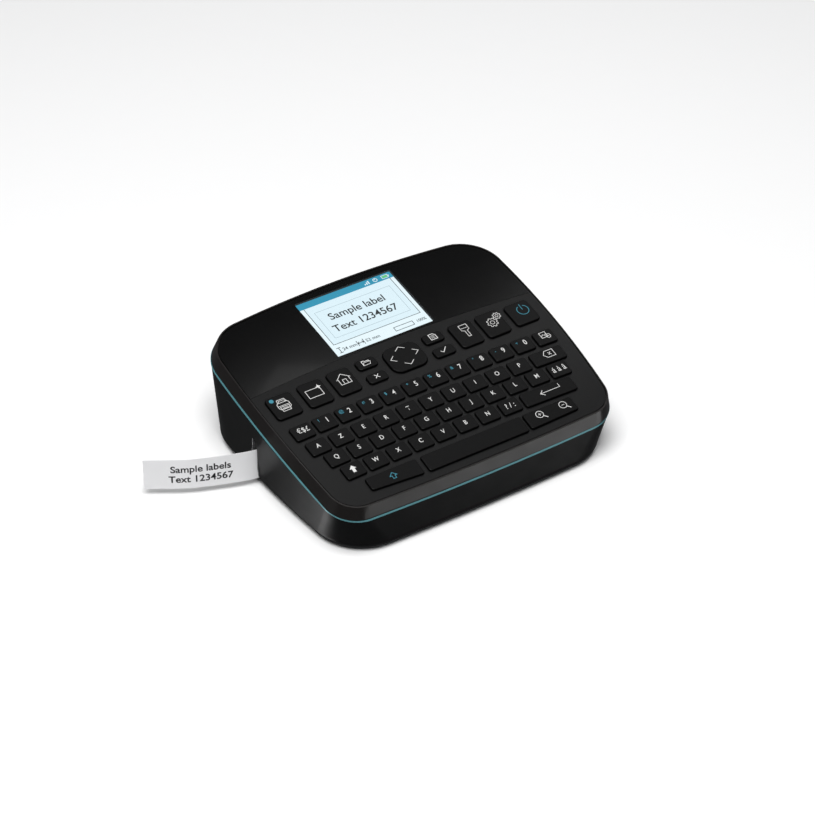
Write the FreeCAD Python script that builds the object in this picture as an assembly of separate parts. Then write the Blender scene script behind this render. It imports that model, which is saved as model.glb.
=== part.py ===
import FreeCAD, Part
import math
import os

from FreeCAD import Placement, Rotation, Vector

# A desk label maker: a wedge-shaped case with a gently arched keyboard deck, a colour display,
# an underside bay for a 24 mm tape cassette and a slot in its left wall where the label comes out.
# Millimetres. +Z is up, the keyboard's front edge faces -Y, +X is to the typist's right.
# The origin is on the surface that the feet stand on, under the middle of the case.

# ---------------------------------------------------------------- driving dimensions

# Arched deck: an arc about X, measured at the tops of the key caps.
DECK_RADIUS = 1416.6
DECK_TILT = 12.82            # slope where the middle letter row stands, degrees
MIDDLE_ROW_Y = -46.0         # the middle letter row's place in the case
MIDDLE_ROW_Z = 52.5          # height of its key tops above the table
PLAN_V = 47.0                # distance up the deck where the mean plane touches it
ARC_SAG = 1.5                # the mean plane lies this far under the arc's top there

# Outline of the deck, in distances across (u) and up (v) the deck from the middle letter row.
DECK_PLAN = dict(half=113.3, widest=59.0, side_bow=760.0, front=-45.0, front_bow=2500.0,
                 rear=139.0, rear_bow=820.0, front_corner=20.0, rear_corner=30.3)
# Outline of the case just above its rounded bottom edge, in x and y.
BASE_PLAN = dict(half=112.9, widest=20.9, side_bow=880.0, front=-90.8, front_bow=2500.0,
                 rear=95.6, rear_bow=1000.0, front_corner=36.0, rear_corner=42.0)

KEY_PROUD = 1.6              # key tops above the deck
DECK_THICK = 2.0
RIM_PROUD = 0.3              # rim's lip above the deck
RIM_WIDTH = 0.9              # thickness of the rim's lip
DECK_GROOVE = 0.7            # open groove between the deck plate and the rim
RIM_LEDGE = 3.4              # ledge inside the rim that the deck plate lies on
BELT_DEPTH = 12.0            # accent line below the key tops
BELT_HEIGHT = 1.3
BELT_FLARE = 2.7             # the case is this much wider at the accent line than at the deck
BELT_PROUD = 0.2
WALL = 2.4
FLOOR_Z = 2.5                # underside of the case, above the table
FLOOR_THICK = 2.4
BOTTOM_ROUND = 4.3           # how far the rounded bottom edge draws in
BOTTOM_ROUND_HEIGHT = 4.8

PANEL_JOINT_V = 73.4         # where the glossy display panel meets the keyboard deck, at u = 0
PANEL_JOINT_BOW = 1220.0
PANEL_GAP = 0.2

SCREEN = dict(left=-39.2, right=37.2, low=75.6, high=132.0)
LENS_GAP = 0.1
LENS_SUNK = 0.15             # window below the panel's face
LENS_THICK = 1.0
LCD_MARGIN = 2.5
LCD_BEHIND = 0.5             # behind the panel, clear of its curve
LCD_THICK = 4.2
LCD_NOTCH = 0.2              # round the module, where the rim's ledge is cut away for it
LCD_FACE_INSET = 0.3         # its bright face stands up inside the window's opening
LCD_FACE_GAP = 0.1           # and reaches this close to the window

# Keyboard
KEY_GAP = 0.35               # key cap to deck, all round
KEY_DEPTH = 5.2              # key cap, top to the bottom of its flange
KEY_FLANGE = 0.75            # flange at each side that keeps the cap behind the deck
KEY_FLANGE_THICK = 1.1
KEY_EDGE = 0.45              # rounding of the cap's top edges
KEY_TRAVEL = 1.2
KEY_WIDE = 14.9
KEY_PITCH = 17.56
MAT_CLEAR = 0.6              # a pressed key stays this far above the mat
MAT_TOP = KEY_DEPTH + KEY_TRAVEL + MAT_CLEAR    # silicone mat, below the key tops
MAT_THICK = 0.9
KEY_BOARD_INSET = 7.0        # mat and key board inside the deck's outline
KEY_BOARD_SETBACK = 6.0      # and in front of the display panel
SEAT = 0.03                  # arched faces that lie on each other
KEY_BOARD_THICK = 1.6
ROW_BOW = 1.25               # the rows droop by this much at ROW_BOW_AT either side
ROW_BOW_AT = 90.0

# Rows of like keys: first key's left edge, number of keys, row centre up the deck, height.
ROWS = {
    "number_row_keys": dict(left=-103.9, count=12, v=28.9, high=12.0, pitch=17.46),
    "upper_letter_keys": dict(left=-101.2, count=10, v=13.3, high=11.8, pitch=17.62),
    "middle_letter_keys": dict(left=-95.25, count=11, v=0.0, high=11.8, pitch=KEY_PITCH),
    "lower_letter_keys": dict(left=-91.0, count=8, v=-13.8, high=11.6, pitch=KEY_PITCH),
}
# Single keys: left, right, low and high edges on the deck, and corner radius.
KEYS = {
    "print_key": (-105.2, -85.9, 42.4, 62.6, 3.0),
    "preview_key": (-80.4, -61.9, 42.2, 63.6, 3.0),
    "home_key": (-57.3, -40.1, 42.4, 64.5, 3.0),
    "open_key": (-34.1, -19.0, 56.6, 65.2, 2.6),
    "cancel_key": (-34.0, -19.1, 42.9, 51.0, 2.6),
    "navigation_pad": (-13.7, 13.9, 43.0, 65.6, 7.0),
    "save_key": (19.0, 34.2, 56.6, 65.3, 2.6),
    "ok_key": (18.9, 34.9, 43.1, 51.4, 2.6),
    "format_key": (40.0, 57.8, 42.9, 65.2, 3.0),
    "settings_key": (61.5, 79.9, 42.8, 64.8, 3.0),
    "power_key": (85.0, 103.8, 43.6, 63.8, 3.0),
    "backspace_key": (75.1, 100.3, 7.4, 19.2, 1.8),
    "enter_key": (49.4, 90.3, -19.9, -8.1, 1.8),
    "shift_key": (-81.3, -42.6, -37.3, -24.4, 1.8),
    "space_bar": (-38.8, 39.8, -37.6, -24.4, 1.8),
    "zoom_key": (41.9, 80.3, -37.3, -24.4, 1.8),
}
BOWED_KEYS = ("backspace_key", "enter_key")
# The deck narrows at its front corners, so these two keys' lower edges rise at the outer end.
LOWER_EDGE_RISE = {"shift_key": (2.7, 0.0), "zoom_key": (0.0, 1.4)}    # left end, right end
TIPPING_KEYS = ("zoom_key", "navigation_pad")    # these rock instead of sinking
TIPPING_FLANGE = 0.5         # thinner, to leave room for the side that rises
TIPPING_GAP = 0.5
PIVOT_RADIUS = 3.0           # post under a tipping key
PIVOT_TOP = KEY_DEPTH + 0.5  # below the key tops; the key tips about a line just above it
PIVOT_FOOT = 0.35            # pad's pivot above the key board
ROW_CORNER = 1.7
BOARD_BOSSES = [(-97.5, -15.0), (97.5, -15.0), (-95.0, 37.8), (95.0, 37.8), (-37.0, 38.4),
                (37.0, 38.4)]
BOARD_BOSS_RADIUS = 1.9

# Tape and cassette
TAPE_WIDTH = 24.0
TAPE_BOTTOM = 5.3
TAPE_THICK = 0.3
TAPE_Y = 11.5                # the tape runs straight to the left along this line
CUT_X = -97.0                # the cutter's blade crosses the tape here
CUT_GAP = 1.2                # between the tape's end and the cut label
LABEL_PATH = [(-106.0, 11.5), (-113.1, 12.2), (-137.5, 19.6), (-156.0, 27.1), (-182.1, 42.6)]
LABEL_START = CUT_X - CUT_GAP / 2

CASSETTE = dict(left=-76.0, right=12.0, front=8.0, rear=62.0, low=4.1, high=30.8)
CASSETTE_WALL = 1.2
CASSETTE_CORNER = 6.0
COVER_THICK = 1.1
SPOOL_GAP = 0.3
TAPE_SPOOL_RADIUS = 23.55
TAPE_SPOOL_X = -14.0
TAPE_SPOOL_Y = TAPE_Y + TAPE_THICK / 2 + SPOOL_GAP + TAPE_SPOOL_RADIUS
RIBBON_SUPPLY = (-52.5, 47.5)
RIBBON_SUPPLY_RADIUS = 10.0
RIBBON_TAKEUP_RADIUS = 7.0
POST_RADIUS = 3.0
POST_FIT = 0.1               # radial running clearance of a spool on its post
SHAFT_FIT = 0.06             # radial running clearance of a steel shaft in its hole

# Feed mechanism
CHASSIS_Z = 33.0
CHASSIS_THICK = 1.6
GEAR_GAP = 0.5               # gears above the chassis plate
GEAR_THICK = 3.0
GEAR_MODULE = 0.6
GEAR_BACKLASH = 0.16
PRESSURE_ANGLE = 20.0
PLATEN_TEETH = 24
IDLER_TEETH = 40
RIBBON_TEETH = 36
PINION_TEETH = 12
PLATEN_RADIUS = 5.0
PLATEN_GAP = 0.15            # roller to tape
PLATEN_X = -84.0
PLATEN_Y = TAPE_Y - TAPE_THICK / 2 - PLATEN_GAP - PLATEN_RADIUS
SHAFT_RADIUS = 1.5
IDLER_AT = 12.0              # direction from the platen to the idler, degrees
RIBBON_AT = 37.2             # direction from the idler to the ribbon gear
PINION_AT = -75.0            # direction from the idler to the motor's pinion
SPINDLE_RADIUS = 3.2
FEED_MOTOR_RADIUS = 11.8
FEED_MOTOR_HIGH = 22.0
HEAD_GAP = 0.3               # print head to tape

# Cutter
CUTTER_STROKE = 8.0
BLADE_THICK = 0.5
BLADE_REST = 1.6             # blade's edge stands this far in front of the tape at rest
CARRIAGE = dict(left=-98.7, right=-95.4, front=-26.0, rear=2.6, low=6.0)
FRAME_THICK = 1.2
CARRIAGE_GAP = 0.3
RACK_PITCH_X = -90.0
CUTTER_PINION_Y = -14.0
CUTTER_MOTOR_RADIUS = 7.4

# Power
BATTERY = dict(left=22.0, right=92.0, front=-30.0, rear=20.0, low=4.2, high=22.0)
BATTERY_FIT = 1.0            # pack to its opening
COVER_LAP = 3.0              # battery cover beyond its opening
COVER_SLIDE = 10.0
COVER_GAP = 0.3
PLATE_THICK = 1.3            # battery cover and cassette door
PLATE_Z = FLOOR_Z + 0.1      # their outer faces, just inside the underside
JACK_X = 46.0
JACK_HALF = 5.0              # half the width of the socket's block
JACK_DEEP = 12.0
JACK_BORE = 3.0
JACK_MOUTH = 4.0             # plain stretch of the bore in front of the centre pin
USB_X = 24.0
USB_HALF = 4.5
USB_DEEP = 8.0
USB_HIGH = 4.6
SOCKET_LOW = 14.5            # the sockets stand on two ribs of this height, above the table
SOCKET_LET_IN = 0.4          # their faces reach this far into the rear wall

DOOR_FIT = 0.4
DOOR_HINGE_SETBACK = 4.0     # hinge line behind the bay's rear edge
DOOR_HINGE_Z = FLOOR_Z + FLOOR_THICK / 2
HINGE_PIN_RADIUS = 0.6
KNUCKLE_RADIUS = 1.15
KNUCKLE_HALF = 18.0

FOOT_RADIUS = 7.0
FOOT_PLACES = [(-84.0, -64.0), (84.0, -64.0), (-62.0, 76.0), (62.0, 76.0)]
BOSS_FRONT_X = DECK_PLAN["half"] - 18.3
BOSS_REAR_X = DECK_PLAN["half"] - 22.3
BOSS_PLACES = [(-BOSS_FRONT_X, -66.0), (BOSS_FRONT_X, -66.0), (-BOSS_REAR_X, 66.0),
               (BOSS_REAR_X, 66.0)]
BOSS_JOIN_FRONT = 26.0       # where the rim's posts stand on the floor's tubes, above the table
BOSS_JOIN_REAR = 44.0
BOSS_RIB = 2.4               # thickness of the ribs that hold the posts to the rim
BOSS_CLEAR = 2.4             # ribs and posts stay this far below the key board's top
BOSS_RADIUS = 4.0
SCREW_RADIUS = 1.45
SCREW_HEAD = 2.7
SCREW_BITE = 8.0             # thread in the bezel's post
CHASSIS_PLACES = [(-44.0, -26.0), (17.0, -8.0), (20.0, 68.0), (-66.0, 68.0)]
BOARD = dict(left=27.0, right=82.0, front=27.0, rear=76.0, z=42.0)
BOARD_THICK = 1.6

REACH = 400.0                # longer than the case, for cutting tools


# ---------------------------------------------------------------- deck geometry

def slope(v):
    """Slope of the deck, in radians, at distance v up from the middle letter row."""
    return math.radians(DECK_TILT) - v / DECK_RADIUS


ARC_Y = MIDDLE_ROW_Y + DECK_RADIUS * math.sin(math.radians(DECK_TILT))
ARC_Z = MIDDLE_ROW_Z - DECK_RADIUS * math.cos(math.radians(DECK_TILT))


def deck_point(u, v, h=0.0):
    """Point at (u, v) on the deck and h above the key tops."""
    reach = DECK_RADIUS + h
    return Vector(u, ARC_Y - reach * math.sin(slope(v)), ARC_Z + reach * math.cos(slope(v)))


def deck_place(u, v, h=0.0, turn=0.0):
    """Frame at a point of the deck: local X across, local Y up the deck, local Z out of it."""
    tip = Rotation(Vector(1, 0, 0), math.degrees(slope(v)))
    return Placement(deck_point(u, v, h), tip.multiply(Rotation(Vector(0, 0, 1), turn)))


def mean_place(h):
    """Frame of the mean plane of the deck, h above the key tops; its local Y counts as v."""
    touch = deck_place(0, PLAN_V, h - ARC_SAG)
    return Placement(touch.multVec(Vector(0, -PLAN_V, 0)), touch.Rotation)


def between(low, high):
    """Everything between two levels that follow the deck's arc, h below or above the key tops."""
    ends = (-90.0, 190.0)
    middle = sum(ends) / 2
    at = [[deck_point(-REACH / 2, v, h) for v in (ends[0], middle, ends[1])] for h in (low, high)]
    edges = [Part.Arc(*at[0]).toShape(), Part.LineSegment(at[0][2], at[1][2]).toShape(),
             Part.Arc(*reversed(at[1])).toShape(), Part.LineSegment(at[1][0], at[0][0]).toShape()]
    return Part.Face(Part.Wire(edges)).extrude(Vector(REACH, 0, 0))


def meet(centre_a, radius_a, centre_b, radius_b):
    """Crossing point of two circles, on the left of the way from the first centre."""
    span = centre_b - centre_a
    gap = span.Length
    along = (radius_a ** 2 - radius_b ** 2 + gap ** 2) / (2 * gap)
    off = math.sqrt(radius_a ** 2 - along ** 2)
    unit = span / gap
    return centre_a + unit * along + Vector(-unit.y, unit.x, 0) * off


def outline(plan, grow, place):
    """Closed outline of four bowed sides and four rounded corners, moved outwards by grow."""
    side = Vector(plan["half"] - plan["side_bow"], plan["widest"], 0)
    front = Vector(0, plan["front"] + plan["front_bow"], 0)
    rear = Vector(0, plan["rear"] - plan["rear_bow"], 0)
    mirror = Vector(-side.x, side.y, 0)
    around = [  # centre and radius of each side, then the corner radius after it
        (front, plan["front_bow"] + grow, plan["front_corner"] + grow),
        (side, plan["side_bow"] + grow, plan["rear_corner"] + grow),
        (rear, plan["rear_bow"] + grow, plan["rear_corner"] + grow),
        (mirror, plan["side_bow"] + grow, plan["front_corner"] + grow),
    ]
    corners = []
    for number, (centre, radius, corner) in enumerate(around):
        other, other_radius, unused = around[(number + 1) % 4]
        middle = meet(centre, radius - corner, other, other_radius - corner)
        leave = centre + (middle - centre).normalize() * radius
        arrive = other + (middle - other).normalize() * other_radius
        corners.append((leave, middle, corner, arrive))
    edges = []
    for number, (centre, radius, corner) in enumerate(around):
        start = corners[number - 1][3]
        leave, middle, bend, arrive = corners[number]
        half_way = ((start + leave) / 2 - centre).normalize() * radius + centre
        edges.append(Part.Arc(start, half_way, leave).toShape())
        swell = ((leave + arrive) / 2 - middle).normalize() * bend + middle
        edges.append(Part.Arc(leave, swell, arrive).toShape())
    wire = Part.Wire(edges)
    wire.Placement = place
    return wire


def deck_prism(grow, low=-40.0, high=12.0):
    """Straight column over the deck's outline, square to the mean plane."""
    face = Part.Face(outline(DECK_PLAN, grow, mean_place(low)))
    return face.extrude(mean_place(0).Rotation.multVec(Vector(0, 0, high - low)))


def case_form(inset):
    """The case's whole outer form, or its hollow when inset by the wall."""
    belt = outline(DECK_PLAN, BELT_FLARE - inset, mean_place(-BELT_DEPTH))
    over = BELT_DEPTH - KEY_PROUD
    top_height = 4.0
    top_grow = -BELT_FLARE * (top_height + KEY_PROUD) / over
    top = outline(DECK_PLAN, top_grow - inset, mean_place(top_height))
    floor = FLOOR_Z + (FLOOR_THICK if inset else 0.0)
    base = []
    for angle in (90.0, 60.0, 30.0, 0.0):
        turn = math.radians(angle)
        drawn_in = BOTTOM_ROUND * (1 - math.cos(turn)) + inset
        height = floor + BOTTOM_ROUND_HEIGHT * (1 - math.sin(turn))
        base.append(outline(BASE_PLAN, -drawn_in, Placement(Vector(0, 0, height), Rotation())))
    bottom = Part.makeLoft(base, True, False)
    wall = Part.makeLoft([base[-1], belt], True, True)
    upper = Part.makeLoft([belt, top], True, True)
    return bottom.fuse([wall, upper])


# ---------------------------------------------------------------- small helpers

def box(left, right, front, rear, low, high):
    return Part.makeBox(right - left, rear - front, high - low, Vector(left, front, low))


def post(x, y, low, high, radius):
    return Part.makeCylinder(radius, high - low, Vector(x, y, low))


def tube(x, y, low, high, radius, bore):
    return post(x, y, low, high, radius).cut(post(x, y, low - 1, high + 1, bore))


def rounded_box(left, right, front, rear, low, high, corner):
    """Upright box with its four standing edges rounded."""
    solid = box(left, right, front, rear, low, high)
    standing = [e for e in solid.Edges if abs(e.tangentAt(e.FirstParameter).z) > 0.9]
    return solid.makeFillet(corner, standing)


def one_piece(shape):
    """The largest solid of a shape, for cuts that leave crumbs."""
    return max(shape.Solids, key=lambda s: s.Volume)


nodes = {}


def add(name, *solids):
    """Writes one node; several solids become one group."""
    found = [s for shape in solids for s in shape.Solids]
    nodes[name] = found[0] if len(found) == 1 else Part.makeCompound(found)


# ---------------------------------------------------------------- keys

def droop(u):
    """The rows of keys bow: how far a key at u sits below its row's middle."""
    return -ROW_BOW * (u / ROW_BOW_AT) ** 2


def key_block(wide, low, high, rise, bottom, top, corner):
    """Upright block with rounded standing edges; its lower edge rises at the left or right."""
    plan = [Vector(-wide, low + rise[0], bottom), Vector(wide, low + rise[1], bottom),
            Vector(wide, high, bottom), Vector(-wide, high, bottom)]
    solid = Part.Face(Part.makePolygon(plan + plan[:1])).extrude(Vector(0, 0, top - bottom))
    standing = [e for e in solid.Edges if abs(e.tangentAt(e.FirstParameter).z) > 0.9]
    return solid.makeFillet(corner, standing)


def cap(left, right, low, high, corner, bow=True, flange_thick=KEY_FLANGE_THICK, gap=KEY_GAP,
        rise=(0.0, 0.0)):
    """Key cap with a flange behind the deck, the deck's opening for it, and its frame."""
    u = (left + right) / 2
    v = (low + high) / 2 + (droop(u) if bow else 0.0)
    lean = round(math.degrees(math.atan(-2 * ROW_BOW * u / ROW_BOW_AT ** 2)), 2) if bow else 0.0
    wide, deep = (right - left) / 2, (high - low) / 2
    body = key_block(wide, -deep, deep, rise, -KEY_DEPTH, 0, corner)
    rim = [e for e in body.Edges if all(abs(p.Point.z) < 1e-6 for p in e.Vertexes)]
    body = body.makeFillet(KEY_EDGE, rim)
    out = KEY_FLANGE
    flange = key_block(wide + out, -deep, deep, rise, -KEY_DEPTH, -KEY_DEPTH + flange_thick,
                       corner)
    solid = body.fuse(flange).removeSplitter()
    place = deck_place(u, v, 0, lean)
    solid.Placement = place
    opening = key_block(wide + gap, -deep - gap, deep + gap, rise, -KEY_PROUD - DECK_THICK - 1, 1,
                        corner + gap)
    opening.Placement = place
    return solid, opening, place


openings = []
caps = {}
for name, row in ROWS.items():
    solids = []
    for number in range(row["count"]):
        left = row["left"] + number * row["pitch"]
        low, high = row["v"] - row["high"] / 2, row["v"] + row["high"] / 2
        solid, opening, place = cap(left, left + KEY_WIDE, low, high, ROW_CORNER)
        solids.append(solid)
        openings.append(opening)
    add(name, *solids)

for name, (left, right, low, high, corner) in KEYS.items():
    bowed = name in BOWED_KEYS
    rise = LOWER_EDGE_RISE.get(name, (0.0, 0.0))
    if name in TIPPING_KEYS:
        solid, opening, place = cap(left, right, low, high, corner, bowed, TIPPING_FLANGE,
                                    TIPPING_GAP, rise)
    else:
        solid, opening, place = cap(left, right, low, high, corner, bowed, rise=rise)
    caps[name] = (solid, place)
    openings.append(opening)

for name, (solid, place) in caps.items():
    add(name, solid)

# ---------------------------------------------------------------- case

form = case_form(0.0)
hollow = case_form(WALL)

joint_ends = PANEL_JOINT_V - 150 ** 2 / (2 * PANEL_JOINT_BOW)
joint = [Vector(-150, joint_ends, 0), Vector(0, PANEL_JOINT_V, 0), Vector(150, joint_ends, 0)]
beyond = [Vector(150, 170, 0), Vector(-150, 170, 0)]
rear_field = Part.Wire([Part.Arc(*joint).toShape(),
                        Part.LineSegment(joint[2], beyond[0]).toShape(),
                        Part.LineSegment(*beyond).toShape(),
                        Part.LineSegment(beyond[1], joint[0]).toShape()])
rear_field.Placement = mean_place(-20)
out_of_deck = mean_place(0).Rotation.multVec(Vector(0, 0, 1))
rear_region = Part.Face(rear_field).extrude(out_of_deck * 40)
gap_shift = mean_place(0).Rotation.multVec(Vector(0, PANEL_GAP, 0))
rear_of_gap = rear_region.copy()
rear_of_gap.translate(gap_shift)

plate = deck_prism(-RIM_WIDTH - DECK_GROOVE).common(between(-KEY_PROUD - DECK_THICK, -KEY_PROUD))
BOARD_TOP = MAT_TOP + MAT_THICK + SEAT


def deck_post(u, v, low, high, radius):
    """Post square to the deck."""
    solid = Part.makeCylinder(radius, high - low, Vector(0, 0, low))
    solid.Placement = deck_place(u, v)
    return solid


deck = plate.cut(rear_region)
for opening in openings:
    deck = deck.cut(opening)
for u, v in BOARD_BOSSES:
    deck = deck.fuse(deck_post(u, v, -BOARD_TOP, -KEY_PROUD - DECK_THICK / 2, BOARD_BOSS_RADIUS))
add("keyboard_deck", one_piece(deck))

screen_u = (SCREEN["left"] + SCREEN["right"]) / 2
screen_v = (SCREEN["low"] + SCREEN["high"]) / 2
screen_wide = SCREEN["right"] - SCREEN["left"]
screen_deep = SCREEN["high"] - SCREEN["low"]


def screen_slab(margin, top, thick):
    """Flat plate centred behind the screen, margin larger all round."""
    wide, deep = screen_wide / 2 + margin, screen_deep / 2 + margin
    slab = box(-wide, wide, -deep, deep, -top - thick, -top)
    slab.Placement = deck_place(screen_u, screen_v)
    return slab


panel = plate.common(rear_of_gap).cut(screen_slab(LENS_GAP, -5, 20))
add("display_panel", one_piece(panel))
lens_top = KEY_PROUD + LENS_SUNK
add("display_lens", screen_slab(0, lens_top, LENS_THICK))
lcd_top = KEY_PROUD + DECK_THICK + LCD_BEHIND
face_top = lens_top + LENS_THICK + LCD_FACE_GAP
lcd_face = screen_slab(-LCD_FACE_INSET, face_top, lcd_top - face_top + LCD_THICK / 2)
add("lcd_panel", screen_slab(LCD_MARGIN, lcd_top, LCD_THICK).fuse(lcd_face))

# Bezel: a ring with a thin lip round the deck, a ledge under it and a skirt down to the belt.
belt_low, belt_high = -BELT_DEPTH - BELT_HEIGHT / 2, -BELT_DEPTH + BELT_HEIGHT / 2
bezel = form.common(between(belt_high, -KEY_PROUD + RIM_PROUD))
bezel = bezel.cut(deck_prism(-RIM_WIDTH).common(between(-KEY_PROUD - DECK_THICK - SEAT, 10)))
bezel = bezel.cut(deck_prism(-RIM_WIDTH - DECK_GROOVE - RIM_LEDGE))
skirt_hollow = hollow.common(between(-30, -KEY_PROUD - DECK_THICK - 2.0))
bezel = bezel.cut(skirt_hollow)
bezel = bezel.cut(screen_slab(LCD_MARGIN + LCD_NOTCH, lcd_top - LCD_NOTCH, 3 * LCD_THICK))

# The belt: a slim coloured band between the two halves of the case.
proud_form = case_form(-BELT_PROUD)
band = proud_form.common(between(belt_low + SEAT, belt_high - SEAT)).cut(hollow)
add("accent_band", one_piece(band))

shell = form.common(between(-200, belt_low)).cut(hollow)

# Screw bosses: tubes on the floor, and posts of the bezel that stand on them.
inside_floor = FLOOR_Z + FLOOR_THICK
screws = []
for x, y in BOSS_PLACES:
    join = BOSS_JOIN_FRONT if y < 0 else BOSS_JOIN_REAR
    shell = shell.fuse(post(x, y, FLOOR_Z + 1, join, BOSS_RADIUS).common(form))
    shell = shell.cut(post(x, y, 0, join + 1, SCREW_RADIUS + 0.15))
    shell = shell.cut(post(x, y, 0, inside_floor + 2.0, SCREW_HEAD + 0.3))
    outwards = math.copysign(1.0, x)
    rib = box(min(x, x + REACH * outwards), max(x, x + REACH * outwards), y - BOSS_RIB / 2,
              y + BOSS_RIB / 2, join, 90)
    low_part = post(x, y, join, 90, BOSS_RADIUS - 0.4).fuse(rib)
    low_part = low_part.common(between(-80, -BOARD_TOP - BOSS_CLEAR))
    side_rib = rib.cut(deck_prism(-KEY_BOARD_INSET + 0.5))
    side_rib = side_rib.common(between(-80, -KEY_PROUD - DECK_THICK - 1.0))
    inner_part = low_part.fuse(side_rib).common(case_form(WALL + 0.2))
    outer_part = side_rib.common(between(belt_high, 0)).common(form)
    bezel = bezel.fuse(inner_part).fuse(outer_part)
    bezel = bezel.cut(post(x, y, join - 1, join + SCREW_BITE + 1, SCREW_RADIUS))
    head = post(x, y, inside_floor + 0.2, inside_floor + 2.0, SCREW_HEAD)
    recess = post(x, y, inside_floor, inside_floor + 1.2, 1.1)
    screws.append(head.cut(recess).fuse(post(x, y, inside_floor + 1.9, join + SCREW_BITE,
                                             SCREW_RADIUS - 0.01)))

# Underside: the cassette bay, the battery bay with the cover's pocket, and their hinge.
bay = CASSETTE
shell = shell.cut(box(bay["left"] - 2, bay["right"] + 2, bay["front"] - 2, bay["rear"] + 2,
                      0, inside_floor + 0.1))
hinge_y = bay["rear"] + 2 + DOOR_HINGE_SETBACK - 1.8
hinge_x = (bay["left"] + bay["right"]) / 2
shell = shell.cut(box(hinge_x - KNUCKLE_HALF - 0.5, hinge_x + KNUCKLE_HALF + 0.5, bay["rear"],
                      hinge_y + 2.0, 0, inside_floor + 0.1))
pin_half = KNUCKLE_HALF + 5


def along_x(x_low, x_high, y, z, radius):
    return Part.makeCylinder(radius, x_high - x_low, Vector(x_low, y, z), Vector(1, 0, 0))


shell = shell.cut(along_x(hinge_x - pin_half, hinge_x + pin_half, hinge_y, DOOR_HINGE_Z,
                          HINGE_PIN_RADIUS + 0.02))
add("door_hinge_pin", along_x(hinge_x - pin_half + 0.2, hinge_x + pin_half - 0.2, hinge_y,
                              DOOR_HINGE_Z, HINGE_PIN_RADIUS))

door_top = PLATE_Z + PLATE_THICK
door = rounded_box(bay["left"] - 2 + DOOR_FIT, bay["right"] + 2 - DOOR_FIT,
                   bay["front"] - 2 + DOOR_FIT, bay["rear"] + 2 - DOOR_FIT, PLATE_Z, door_top, 2.0)
knuckle = along_x(hinge_x - KNUCKLE_HALF, hinge_x + KNUCKLE_HALF, hinge_y, DOOR_HINGE_Z,
                  KNUCKLE_RADIUS)
web = box(hinge_x - KNUCKLE_HALF, hinge_x + KNUCKLE_HALF, bay["rear"] - 1, hinge_y, PLATE_Z,
          door_top)
door = door.fuse(knuckle).fuse(web)
door = door.cut(along_x(hinge_x - 40, hinge_x + 40, hinge_y, DOOR_HINGE_Z,
                        HINGE_PIN_RADIUS + SHAFT_FIT))
finger_dip = Part.makeSphere(9.0, Vector(hinge_x, bay["front"] + 8, PLATE_Z - 8.2))
add("cassette_door", one_piece(door.cut(finger_dip)))

pack = BATTERY
shell = shell.cut(box(pack["left"] - BATTERY_FIT, pack["right"] + BATTERY_FIT,
                      pack["front"] - BATTERY_FIT, pack["rear"] + BATTERY_FIT, 0,
                      inside_floor + 0.1))
lap = BATTERY_FIT + COVER_LAP
shell = shell.cut(box(pack["left"] - lap - COVER_GAP, pack["right"] + lap + COVER_GAP,
                      pack["front"] - lap - COVER_GAP, pack["rear"] + lap + COVER_SLIDE + COVER_GAP,
                      0, PLATE_Z + PLATE_THICK + 0.2))
cover = rounded_box(pack["left"] - lap, pack["right"] + lap, pack["front"] - lap,
                    pack["rear"] + lap, PLATE_Z, PLATE_Z + PLATE_THICK, 3.0)
for number in range(5):
    y = pack["rear"] - 6 - 2.4 * number
    middle = (pack["left"] + pack["right"]) / 2
    cover = cover.cut(box(middle - 12, middle + 12, y, y + 1.0, 0, PLATE_Z + 0.5))
add("battery_cover", cover)
add("battery_pack", rounded_box(pack["left"], pack["right"], pack["front"], pack["rear"],
                                pack["low"], pack["high"], 3.0))

add("rubber_feet", *[post(x, y, 0, FLOOR_Z, FOOT_RADIUS) for x, y in FOOT_PLACES])

# Exit slot in the left wall, in line with the tape, and the trim that guides the label out of it.
SLOT_FRONT, SLOT_REAR = TAPE_Y - 1.2, TAPE_Y + 2.4
SLOT_LOW, SLOT_HIGH = 4.9, 38.0
SLOT_TRIM = 0.9
GUIDE_LEFT = -BASE_PLAN["half"] - 1.1
GUIDE_RIGHT = -100.7
GUIDE_GAP = 0.45
shell = shell.cut(box(-REACH, -100, SLOT_FRONT - SLOT_TRIM, SLOT_REAR + SLOT_TRIM, SLOT_LOW - 0.02,
                      SLOT_HIGH + SLOT_TRIM))
guide = box(GUIDE_LEFT, GUIDE_RIGHT, SLOT_FRONT - SLOT_TRIM, SLOT_REAR + SLOT_TRIM, SLOT_LOW,
            SLOT_HIGH + SLOT_TRIM)
guide = guide.cut(box(-REACH, -90, SLOT_FRONT, SLOT_REAR, SLOT_LOW - 1, SLOT_HIGH))
lead_in = box(GUIDE_LEFT + 6.5, GUIDE_RIGHT, TAPE_Y + TAPE_THICK / 2 + GUIDE_GAP,
              SLOT_REAR + SLOT_TRIM, SLOT_LOW, SLOT_HIGH)
guide = guide.fuse(lead_in).common(case_form(-0.8))
ridge = rounded_box(GUIDE_LEFT - 1.2, GUIDE_LEFT + 3, SLOT_REAR, SLOT_REAR + SLOT_TRIM, 9.0,
                    SLOT_HIGH, 0.4)
add("label_exit_guide", one_piece(guide.fuse(ridge)))

# ---------------------------------------------------------------- tape and label

add("label_tape", box(CUT_X + CUT_GAP / 2, TAPE_SPOOL_X, TAPE_Y - TAPE_THICK / 2,
                      TAPE_Y + TAPE_THICK / 2, TAPE_BOTTOM, TAPE_BOTTOM + TAPE_WIDTH))


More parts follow.
